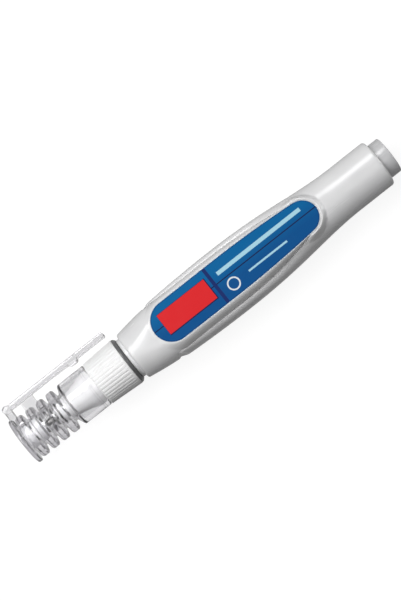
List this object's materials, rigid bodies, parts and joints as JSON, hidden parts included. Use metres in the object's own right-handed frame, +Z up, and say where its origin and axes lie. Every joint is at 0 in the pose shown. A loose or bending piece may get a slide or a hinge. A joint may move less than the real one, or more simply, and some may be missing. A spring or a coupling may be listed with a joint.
{
  "type": "correction pen",
  "caption": "Squeeze-type correction pen with a flat label panel, side bands, a spring valve behind a metal tip, a loose mixing ball and a clear finned cap with a pocket clip.",
  "frame": {"origin": "On the resting plane, at the middle of the back label, under the pen's axis", "axes": "+X along the pen towards the tail plug, +Y towards the cap's clip, +Z up through the front label"},
  "size_m": [0.1398, 0.0226, 0.0178],
  "materials": {
    "barrel_plastic": "satin pale silver-grey squeeze plastic",
    "plug_plastic": "satin grey plastic",
    "nozzle_plastic": "satin white plastic",
    "tip_metal": "turned nickel silver",
    "needle_steel": "ground steel wire",
    "plunger_plastic": "natural moulded plastic",
    "spring_steel": "drawn spring wire",
    "gasket_rubber": "dark seal rubber",
    "ring_plastic": "glossy dark grey plastic",
    "ball_steel": "polished steel ball",
    "cap_clear": "clear moulded plastic",
    "seal_plastic": "whitish soft plastic",
    "label_film": "printed blue film with a pale border, unlettered"
  },
  "bodies": {
    "pen": {"barrel": "barrel_plastic", "tail_plug": "plug_plastic", "nozzle": "nozzle_plastic", "metal_tip": "tip_metal", "spring_seat": "plunger_plastic", "valve_spring": "spring_steel", "neck_gasket": "gasket_rubber", "collar_ring": "ring_plastic", "front_label": "label_film", "back_label": "label_film"},
    "cap": {"cap_shell": "cap_clear", "cap_inner_seal": "seal_plastic"},
    "needle": {"valve_needle": "needle_steel", "needle_plunger": "plunger_plastic"},
    "ball": {"mixing_ball": "ball_steel"}
  },
  "joints": [
    {"name": "cap_pull", "type": "slide", "parent": "pen", "child": "cap", "axis": [-1, 0, 0], "range_m": [0, 0.04]},
    {"name": "needle_press", "type": "slide", "parent": "pen", "child": "needle", "axis": [1, 0, 0], "range_m": [0, 0.0008], "stiffness_N_per_m": 200, "springref_m": -0.0015, "deforming": ["valve_spring"]},
    {"name": "ball_roll", "type": "slide", "parent": "pen", "child": "ball", "axis": [1, 0, 0], "range_m": [-0.03, 0.018]}
  ]
}
